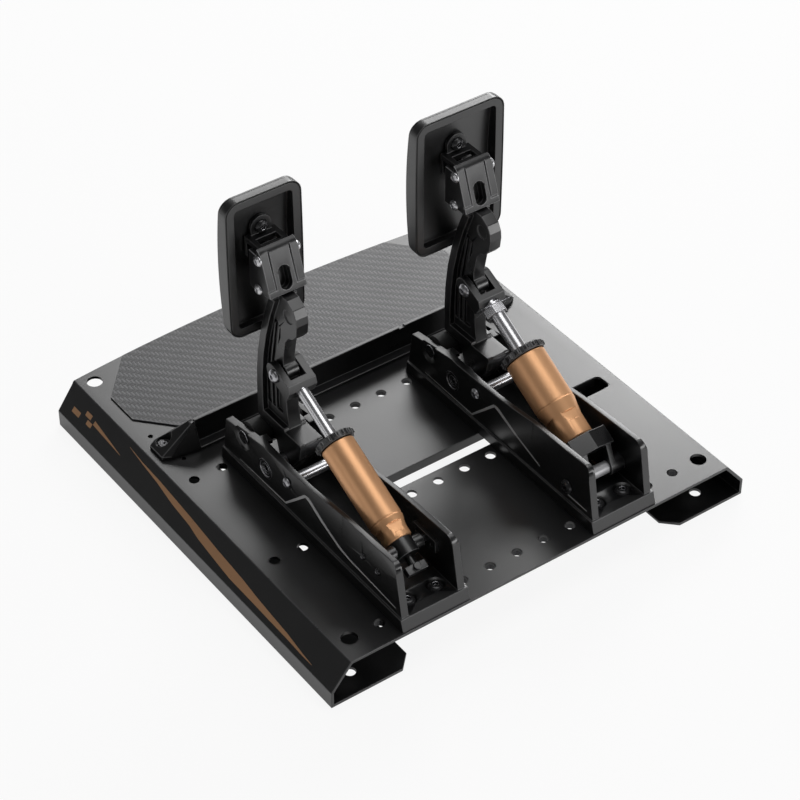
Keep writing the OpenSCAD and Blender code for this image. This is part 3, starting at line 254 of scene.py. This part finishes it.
# One straight stroke on a side wall, between two places and with a width at each, in metres
def buildStroke():
    tree, inn, out = newGroup(
        "strokeMask",
        [("Place", "Vector", None), ("Start", "Vector", None), ("End", "Vector", None),
         ("Start Width", "Float", 0.001), ("End Width", "Float", 0.001)],
        [("Mask", "Float")],
    )

    def vector(operation, a, b):
        n = addNode(tree, "VectorMath", operation=operation)
        link(tree, a, n.inputs[0])
        if isinstance(b, tuple):
            n.inputs[1].default_value = b
        elif b is not None:
            link(tree, b, n.inputs[1])
        return n

    flat = vector("MULTIPLY", inn.outputs["Place"], (0, 1, 1)).outputs["Vector"]
    along = vector("SUBTRACT", inn.outputs["End"], inn.outputs["Start"]).outputs["Vector"]
    fromStart = vector("SUBTRACT", flat, inn.outputs["Start"]).outputs["Vector"]
    part = calc(tree, "DIVIDE", vector("DOT_PRODUCT", fromStart, along).outputs["Value"],
                vector("DOT_PRODUCT", along, along).outputs["Value"])
    reach = addNode(tree, "VectorMath", operation="SCALE")
    link(tree, along, reach.inputs[0])
    link(tree, part, reach.inputs["Scale"])
    away = vector("SUBTRACT", fromStart, reach.outputs["Vector"]).outputs["Vector"]
    aside = vector("LENGTH", away, None).outputs["Value"]
    width = addNode(tree, "Mix", data_type="FLOAT", clamp_factor=True)
    link(tree, part, width.inputs["Factor"])
    link(tree, inn.outputs["Start Width"], width.inputs["A"])
    link(tree, inn.outputs["End Width"], width.inputs["B"])
    inside = calc(tree, "LESS_THAN", aside, calc(tree, "MULTIPLY", width.outputs["Result"], 0.5))
    ends = calc(tree, "LESS_THAN", calc(tree, "ABSOLUTE", calc(tree, "SUBTRACT", part, 0.5)), 0.5)
    link(tree, calc(tree, "MULTIPLY", inside, ends), out.inputs["Mask"])
    return tree


grainGroup = buildGrain()
twillGroup = buildTwill()
strokeGroup = buildStroke()


def useGroup(tree, group, place, values):
    n = addNode(tree, "Group", node_tree=group)
    link(tree, place, n.inputs["Place"])
    for key, value in values.items():
        n.inputs[key].default_value = value
    return n


def startMaterial(name):
    m = bpy.data.materials.new(name)
    m.use_nodes = True
    tree = m.node_tree
    shader = tree.nodes["Principled BSDF"]
    place = addNode(tree, "TexCoord").outputs["Object"]
    return m, tree, shader, place


def tint(tree, factor, dark, light):
    n = addNode(tree, "Mix", data_type="RGBA")
    link(tree, factor, n.inputs["Factor"])
    n.inputs["A"].default_value = (*dark, 1)
    n.inputs["B"].default_value = (*light, 1)
    return n.outputs["Result"]


def bump(tree, height, strength, distance, under=None):
    n = addNode(tree, "Bump", {"Strength": strength, "Distance": distance * mm})
    link(tree, height, n.inputs["Height"])
    if under:
        link(tree, under, n.inputs["Normal"])
    return n.outputs["Normal"]


# One finish: dark and light tone, gloss and grain
def makeFinish(
    name, dark, light, metallic=0.0, roughness=0.4, spread=0.08,
    grainSize=0.5, cloudSize=40.0, grainBump=0.05, specular=0.5,
):
    m, tree, shader, place = startMaterial(name)
    grain = useGroup(tree, grainGroup, place, {
        "Grain Size": grainSize, "Cloud Size": cloudSize, "Roughness": roughness, "Gloss Spread": spread})
    link(tree, tint(tree, grain.outputs["Shade"], dark, light), shader.inputs["Base Color"])
    link(tree, grain.outputs["Roughness"], shader.inputs["Roughness"])
    if grainBump:
        link(tree, bump(tree, grain.outputs["Height"], 0.5, grainBump), shader.inputs["Normal"])
    shader.inputs["Metallic"].default_value = metallic
    shader.inputs["Specular IOR Level"].default_value = specular
    return m


finish = {
    "coat": makeFinish("blackPowderCoat", (0.004, 0.004, 0.0045), (0.007, 0.007, 0.0075), roughness=0.3,
                       spread=0.05, grainSize=0.6, cloudSize=60, grainBump=0.01, specular=0.9),
    # lighter copy of the black coat for the rounded edge strips: a painted highlight along the edges
    "coatEdge": makeFinish("powderCoatPaintedHighlight", (0.05, 0.05, 0.052), (0.09, 0.09, 0.092), roughness=0.3,
                           spread=0.1, grainSize=0.6, cloudSize=12, grainBump=0.02),
    "alloy": makeFinish("blackAlloy", (0.004, 0.004, 0.0045), (0.008, 0.008, 0.0085), roughness=0.3,
                        spread=0.06, grainSize=0.4, cloudSize=20, grainBump=0.02, specular=0.8),
    # lighter copy of the black alloy for the rounded edge strips: a painted highlight along the edges
    "alloyEdge": makeFinish("blackAlloyPaintedHighlight", (0.07, 0.07, 0.072), (0.13, 0.13, 0.132), roughness=0.3,
                            spread=0.1, grainSize=0.4, cloudSize=8, grainBump=0.02),
    "grey": makeFinish("greyAlloy", (0.014, 0.014, 0.015), (0.022, 0.022, 0.023), roughness=0.32,
                       spread=0.08, grainSize=0.4, cloudSize=15, grainBump=0.03),
    # lighter copy of the grey alloy for the rounded edge strips: a painted highlight along the edges
    "greyEdge": makeFinish("greyAlloyPaintedHighlight", (0.2, 0.2, 0.205), (0.32, 0.32, 0.325), roughness=0.3,
                           spread=0.1, grainSize=0.4, cloudSize=8, grainBump=0.02),
    "pad": makeFinish("padMoulding", (0.008, 0.008, 0.0085), (0.012, 0.012, 0.0125), roughness=0.32,
                      spread=0.05, grainSize=0.35, cloudSize=30, grainBump=0.01, specular=0.9),
    "bronze": makeFinish("bronzeAnodised", (0.8, 0.43, 0.215), (0.86, 0.47, 0.24), metallic=0.6,
                         roughness=0.4, spread=0.04, cloudSize=25, grainBump=0),
    "chrome": makeFinish("polishedRod", (0.6, 0.6, 0.62), (0.66, 0.66, 0.68), metallic=0.85, roughness=0.26,
                         spread=0.02, cloudSize=20, grainBump=0),
    "satin": makeFinish("satinSteel", (0.42, 0.42, 0.43), (0.5, 0.5, 0.51), metallic=0.4, roughness=0.45,
                        spread=0.04, cloudSize=20, grainBump=0),
    "steel": makeFinish("plainSteel", (0.4, 0.4, 0.42), (0.52, 0.52, 0.54), metallic=1.0, roughness=0.3,
                        spread=0.1, grainSize=0.3, cloudSize=10, grainBump=0.01),
    "blackSteel": makeFinish("blackOxide", (0.03, 0.03, 0.032), (0.05, 0.05, 0.052), metallic=0.6,
                             roughness=0.24, spread=0.1, grainSize=0.3, cloudSize=8, grainBump=0.02),
    "rubber": makeFinish("blackRubber", (0.012, 0.012, 0.012), (0.018, 0.018, 0.018), roughness=0.7,
                         spread=0.1, grainSize=0.3, cloudSize=10, grainBump=0.05),
    "elastomer": makeFinish("greyElastomer", (0.1, 0.09, 0.085), (0.14, 0.13, 0.12), roughness=0.6,
                            spread=0.1, grainSize=0.3, cloudSize=10, grainBump=0.05),
    "board": makeFinish("circuitBoard", (0.01, 0.06, 0.03), (0.015, 0.08, 0.04), roughness=0.35,
                        spread=0.1, grainSize=0.3, cloudSize=10, grainBump=0.02),
}


def makeCarbon():
    look = {
        "towWidth": 2.1, "warp": (0.075, 0.075, 0.08), "weft": (0.03, 0.03, 0.033), "fibreShare": 0.5,
        "grainSize": 0.6, "cloudSize": 70.0, "spread": 0.08, "roughness": 0.42, "relief": 0.12,
        "coat": 0.15, "coatRoughness": 0.3,
    }
    m, tree, shader, place = startMaterial("carbonTwill")
    twill = useGroup(tree, twillGroup, place, {"Tow Width": look["towWidth"]})
    grain = useGroup(tree, grainGroup, place, {
        "Grain Size": look["grainSize"], "Cloud Size": look["cloudSize"],
        "Roughness": look["roughness"], "Gloss Spread": look["spread"]})
    # warp tows tinted lighter and weft tows darker: a painted sheen standing in for the fibres' directional
    # reflection; the fibre streaks are the tows' own grain
    base = tint(tree, twill.outputs["Warp"], look["weft"], look["warp"])
    shaded = addNode(tree, "Mix", data_type="RGBA", blend_type="MULTIPLY")
    shaded.inputs["Factor"].default_value = look["fibreShare"]
    link(tree, base, shaded.inputs["A"])
    link(tree, twill.outputs["Fibre"], shaded.inputs["B"])
    link(tree, shaded.outputs["Result"], shader.inputs["Base Color"])
    link(tree, grain.outputs["Roughness"], shader.inputs["Roughness"])
    link(tree, bump(tree, twill.outputs["Height"], 0.5, look["relief"]), shader.inputs["Normal"])
    shader.inputs["Coat Weight"].default_value = look["coat"]
    shader.inputs["Coat Roughness"].default_value = look["coatRoughness"]
    return m


# Strokes as places along the wall and up it, with widths, all in millimetres
def strokeMasks(tree, place, strokes):
    total = None
    for start, end, startWidth, endWidth in strokes:
        n = useGroup(tree, strokeGroup, place, {
            "Start": (0, start[0] * mm, start[1] * mm), "End": (0, end[0] * mm, end[1] * mm),
            "Start Width": startWidth * mm, "End Width": endWidth * mm})
        total = n.outputs["Mask"] if total is None else calc(tree, "MAXIMUM", total, n.outputs["Mask"])
    return total


# How far a place lies out along a direction, compared with a limit
def beyond(tree, place, direction, limit):
    n = addNode(tree, "VectorMath", {1: direction}, operation="DOT_PRODUCT")
    link(tree, place, n.inputs[0])
    return calc(tree, "GREATER_THAN", n.outputs["Value"], limit * mm)


# A finish with printed strokes on the side wall that faces along direction
def makePrinted(name, prints, direction, limit):
    m = finish["coat"].copy()
    m.name = name
    tree = m.node_tree
    shader = tree.nodes["Principled BSDF"]
    place = next(n for n in tree.nodes if n.type == "TEX_COORD").outputs["Object"]
    side = beyond(tree, place, direction, limit)
    base = shader.inputs["Base Color"].links[0].from_socket
    for colour, strokes in prints:
        mix = addNode(tree, "Mix", data_type="RGBA")
        link(tree, calc(tree, "MULTIPLY", side, strokeMasks(tree, place, strokes)), mix.inputs["Factor"])
        link(tree, base, mix.inputs["A"])
        mix.inputs["B"].default_value = (*colour, 1)
        base = mix.outputs["Result"]
    link(tree, base, shader.inputs["Base Color"])
    return m


# Strokes through points that each give their own width
def taper(points):
    return [(a[:2], b[:2], a[2], b[2]) for a, b in zip(points, points[1:])]


finish["carbon"] = makeCarbon()
sideSign = {
    "bronze": (0.44, 0.235, 0.115),
    "dagger": taper([
        (-77.2, 25.6, 0.2), (-62, 24.5, 0.6), (-42, 23.6, 1.7), (-22, 22.1, 3.0), (-1, 21.0, 3.3),
        (10, 19.9, 4.2), (29, 18.7, 4.5), (48, 17.7, 4.9), (57, 17.5, 4.5), (73, 16.9, 3.4),
        (90, 16.4, 2.7), (107, 16.0, 2.0), (124, 15.1, 0.9), (134.4, 14.8, 0.2),
    ]),
    "dart": taper([(-115, 21.0, 2.3), (-81, 18.9, 0.2)]),
    "flag": [
        ((-137.7, 18.3), (-129.3, 18.3), 2.8, 2.8), ((-125.4, 21.8), (-118.9, 21.8), 2.5, 2.5),
        ((-121.1, 18.6), (-115.5, 18.6), 2.4, 2.4),
    ],
    "slope": (0.775, 0, 0.632),
    "outside": 127.6,
}
finish["printedPlate"] = makePrinted(
    "printedPlate", [(sideSign["bronze"], sideSign["dagger"] + sideSign["dart"] + sideSign["flag"])],
    sideSign["slope"], sideSign["outside"],
)
wallLine = {
    "white": (0.6, 0.6, 0.6),
    "throttle": taper([
        (-15.4, 38.8, 0.4), (34.6, 39.5, 1.3), (54.5, 59.0, 1.8), (58.7, 58.9, 2.6), (91.1, 45.7, 2.3),
        (101.1, 43.9, 1.5), (146.7, 41.2, 0.8),
    ]),
    "brake": taper([
        (-15.3, 39.5, 0.4), (34.0, 38.5, 1.3), (54.7, 59.2, 1.8), (58.7, 58.8, 2.4), (101.8, 44.0, 1.2),
    ]) + taper([(129.0, 41.1, 1.2), (147.0, 40.7, 0.7)]),
    "outside": {"throttle": 100.0, "brake": -40.0},
}
for side in ("throttle", "brake"):
    finish[side + "Wall"] = makePrinted(
        side + "Wall", [(wallLine["white"], wallLine[side])], (1, 0, 0), wallLine["outside"][side])
print("finishes made:", len(finish))


# the pieces over their solids

# each entry: finish, edge-strip finish, bevel width, shortest bevelled edge; a lighter edge-strip finish
# (coat, alloy and grey edge finishes, steel round the black screws and pins) is a painted highlight along
# the edges
basePieces = {
    "base_plate": ("printedPlate", "coatEdge", 0.4, 6),
    "heel_mat": ("carbon", "carbon", 0.25),
    "heel_stop": ("alloy", "alloyEdge", 0.4),
    "heel_stop_screws": ("blackSteel", "steel", 0.2),
}
pedalPieces = {
    "bracket": ("coat", "coatEdge", 0.45, 3),
    "floor_bolts": ("blackSteel", "steel", 0.25),
    "floor_nuts": ("steel", "steel", 0.2),
    "pivot_bearings": ("blackSteel", "steel", 0.25),
    "pivot_pin": ("blackSteel", "steel", 0.2),
    "pivot_spacers": ("steel", "chrome", 0.3),
    "rest_pin": ("blackSteel", "steel", 0.3),
    "rest_roller": ("rubber", "rubber", 0.3),
    "stop_rod": ("chrome", "chrome", 0.3),
    "stop_rod_bolts": ("steel", "steel", 0.2),
    "arm": ("alloy", "alloyEdge", 0.4),
    "pad_clamp": ("grey", "greyEdge", 0.35),
    "clamp_screws": ("chrome", "chrome", 0.2),
    "tilt_plate": ("coat", "coatEdge", 0.3),
    "pad_bolts": ("blackSteel", "steel", 0.2),
    "pad_frame": ("pad", "pad", 0.35),
    "pad_face": ("pad", "pad", 0.35),
    "fork": ("alloy", "alloyEdge", 0.4),
    "fork_bolt": ("steel", "chrome", 0.2),
    "push_rod": ("chrome", "chrome", 0.3),
    "adjuster_ring": ("alloy", "alloyEdge", 0.35),
    "damper_body": ("bronze", "bronze", 0.3),
    "lower_pin": ("satin", "satin", 0.3),
}
extraPieces = {
    "throttle_spring": None,
    "throttle_collar": ("alloy", "alloyEdge", 0.3),
    "throttle_rod_end": ("alloy", "alloyEdge", 0.3),
    "throttle_sensor_board": ("board", "board", 0.15),
    "throttle_sensor_magnet": ("steel", "steel", 0.2),
    "throttle_pin_plate": ("alloy", "alloyEdge", 0.2),
    "throttle_lower_pin": ("blackSteel", "blackSteel", 0.3),
    "throttle_sensor_screws": ("blackSteel", "steel", 0.15),
    "brake_lock_nut": ("chrome", "chrome", 0.3),
    "brake_elastomers": None,
    "brake_load_cell": ("alloy", "alloyEdge", 0.4),
}
jobs = dict(basePieces)
for side in ("throttle", "brake"):
    jobs.update({f"{side}_{k}": v for k, v in pedalPieces.items()})
    jobs[side + "_bracket"] = (side + "Wall", *pedalPieces["bracket"][1:])
jobs.update(extraPieces)
for node, job in jobs.items():
    if job:
        workOver(node, finish[job[0]], finish[job[1]], *job[2:])
print("pieces worked over:", len(jobs))


# the pieces that only the scene has, and the last finishes

# Threaded sleeves below the free holes of the front and rear rows
def makeRowInserts():
    look = {
        "outer": 4.7, "wall": 1.3, "sides": 40, "top": 27.2, "pitch": 20,
        "front": {"y": 141.1, "first": -110, "last": 110, "depth": 3.8},
        "rear": {"y": -24.8, "first": -70, "last": 110, "depth": 2.5},
        "taken": {90, 70, -50, -70},
    }
    tubes = []
    for row in (look["front"], look["rear"]):
        for x in range(row["first"], row["last"] + 1, look["pitch"]):
            if x in look["taken"]:
                continue
            middle = look["top"] - row["depth"] / 2
            bpy.ops.mesh.primitive_cylinder_add(
                vertices=look["sides"], radius=look["outer"] * mm, depth=row["depth"] * mm,
                end_fill_type="NOTHING", location=(x * mm, row["y"] * mm, middle * mm))
            tube = placeInMesh(bpy.context.view_layer.objects.active)
            addModifier(tube, "SOLIDIFY", thickness=look["wall"] * mm, offset=-1.0)
            tubes.append(tube)
    deselectAll()
    for tube in tubes:
        tube.select_set(True)
    bpy.context.view_layer.objects.active = tubes[0]
    bpy.ops.object.join()
    inserts = bpy.context.view_layer.objects.active
    inserts.name = "row_inserts"
    inserts.data.name = inserts.name
    inserts.data.materials.append(finish["blackSteel"])
    bpy.ops.object.shade_smooth_by_angle(angle=math.radians(smoothAngle))
    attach(inserts, "base")


# Gives the faces beyond a place along x another finish
def finishBeyond(node, look, limit):
    mesh = bpy.data.objects[node + "_piece"].data
    mesh.materials.append(finish[look])
    for face in mesh.polygons:
        if face.center.x > limit * mm:
            face.material_index = len(mesh.materials) - 1


brakeWallFace = -37.6
makeRowInserts()
finishBeyond("brake_lower_pin", "blackSteel", brakeWallFace)
print("inserts and pin head done")

for node, look in (("throttle_spring", "steel"), ("brake_elastomers", "elastomer")):
    part = frame["nodes"][node]
    part.data.materials.clear()
    part.data.materials.append(finish[look])

for node, part in frame["nodes"].items():
    if not part.hide_render and not part.data.materials:
        part.data.materials.append(finish["alloy"])


# floor, light and camera

def makeFloor():
    look = {
        "size": 14.0, "drop": 0.0003, "tone": (0.86, 0.86, 0.86), "clouded": 0.995,
        "shown": 0.9, "mirrored": 0.5,
        "grain": {"Grain Size": 8.0, "Cloud Size": 900.0, "Roughness": 0.8, "Gloss Spread": 0.05},
    }
    bpy.ops.mesh.primitive_plane_add(size=look["size"], location=(0, 0, -look["drop"]))
    floor = bpy.context.view_layer.objects.active
    floor.name = "floor"
    placeInMesh(floor)
    m, tree, shader, place = startMaterial("floorPaint")
    grain = useGroup(tree, grainGroup, place, look["grain"])
    tone = look["tone"]
    shade = tint(tree, grain.outputs["Shade"], [c * look["clouded"] for c in tone], tone)
    link(tree, shade, shader.inputs["Base Color"])
    link(tree, grain.outputs["Roughness"], shader.inputs["Roughness"])
    shader.inputs["Specular IOR Level"].default_value = 0.0
    white = addNode(tree, "Emission", {"Color": (1, 1, 1, 1), "Strength": 1.0})
    mix = addNode(tree, "MixShader")
    path = addNode(tree, "LightPath")
    seen = calc(tree, "MAXIMUM", calc(tree, "MULTIPLY", path.outputs["Is Camera Ray"], look["shown"]),
                calc(tree, "MULTIPLY", path.outputs["Is Glossy Ray"], look["mirrored"]))
    link(tree, seen, mix.inputs["Fac"])
    link(tree, shader.outputs[0], mix.inputs[1])
    link(tree, white.outputs[0], mix.inputs[2])
    link(tree, mix.outputs[0], tree.nodes["Material Output"].inputs["Surface"])
    floor.data.materials.append(m)


def addLamp(name, place, aim, size, power):
    lamp = bpy.data.lights.new(name, "AREA")
    lamp.shape = "RECTANGLE"
    lamp.size, lamp.size_y = size
    lamp.energy = power
    holder = bpy.data.objects.new(name, lamp)
    bpy.context.scene.collection.objects.link(holder)
    holder.location = place
    holder.rotation_mode = "QUATERNION"
    holder.rotation_quaternion = (Vector(aim) - Vector(place)).to_track_quat("-Z", "Y")


def setWorld():
    look = {"light": 0.09, "shown": 1.0}
    world = bpy.data.worlds.new("studio")
    bpy.context.scene.world = world
    world.use_nodes = True
    tree = world.node_tree
    back = tree.nodes["Background"]
    back.inputs["Color"].default_value = (1, 1, 1, 1)
    back.inputs["Strength"].default_value = look["light"]
    white = addNode(tree, "Background", {"Color": (1, 1, 1, 1), "Strength": look["shown"]})
    path = addNode(tree, "LightPath")
    seen = calc(tree, "MAXIMUM", path.outputs["Is Camera Ray"], path.outputs["Is Transmission Ray"])
    mix = addNode(tree, "MixShader")
    link(tree, seen, mix.inputs["Fac"])
    link(tree, back.outputs[0], mix.inputs[1])
    link(tree, white.outputs[0], mix.inputs[2])
    link(tree, mix.outputs[0], tree.nodes["World Output"].inputs["Surface"])


def setCamera():
    look = {"place": (0.72354, 1.00852, 1.09429), "azimuth": 144.088, "elevation": 40.2, "lens": 117.6}
    a, e = math.radians(look["azimuth"]), math.radians(look["elevation"])
    back = Vector((math.sin(a) * math.cos(e), -math.cos(a) * math.cos(e), math.sin(e)))
    data = bpy.data.cameras.new("camera")
    data.lens, data.sensor_width = look["lens"], 36.0
    data.clip_start, data.clip_end = 0.05, 60.0
    cam = bpy.data.objects.new("camera", data)
    bpy.context.scene.collection.objects.link(cam)
    cam.location = look["place"]
    cam.rotation_mode = "QUATERNION"
    cam.rotation_quaternion = (-back).to_track_quat("-Z", "Y")
    bpy.context.scene.camera = cam


makeFloor()
setWorld()
lamps = {
    "overhead": ((-0.3, 0.1, 1.7), (0, 0, 0.1), (1.2, 1.2), 10.5),
    "rearSoftbox": ((-1.2, -1.7, 1.4), (-0.05, -0.05, 0.1), (0.9, 0.9), 11.5),
    "rearSideSoftbox": ((-1.9, -1.3, 1.3), (-0.1, -0.05, 0.1), (0.9, 0.9), 27),
    "rearLowSoftbox": ((-0.4, -2.0, 1.4), (0, 0, 0.1), (0.9, 0.9), 3),
    "frontSoftbox": ((-0.9, 1.7, 0.5), (0, 0, 0.1), (1.2, 0.7), 12),
    "rightSoftbox": ((1.9, 0.0, 0.7), (0, 0, 0.1), (1.0, 0.8), 2),
}
for name, values in lamps.items():
    addLamp(name, *values)
setCamera()
bpy.context.scene.view_settings.view_transform = "Standard"
print("stage set")
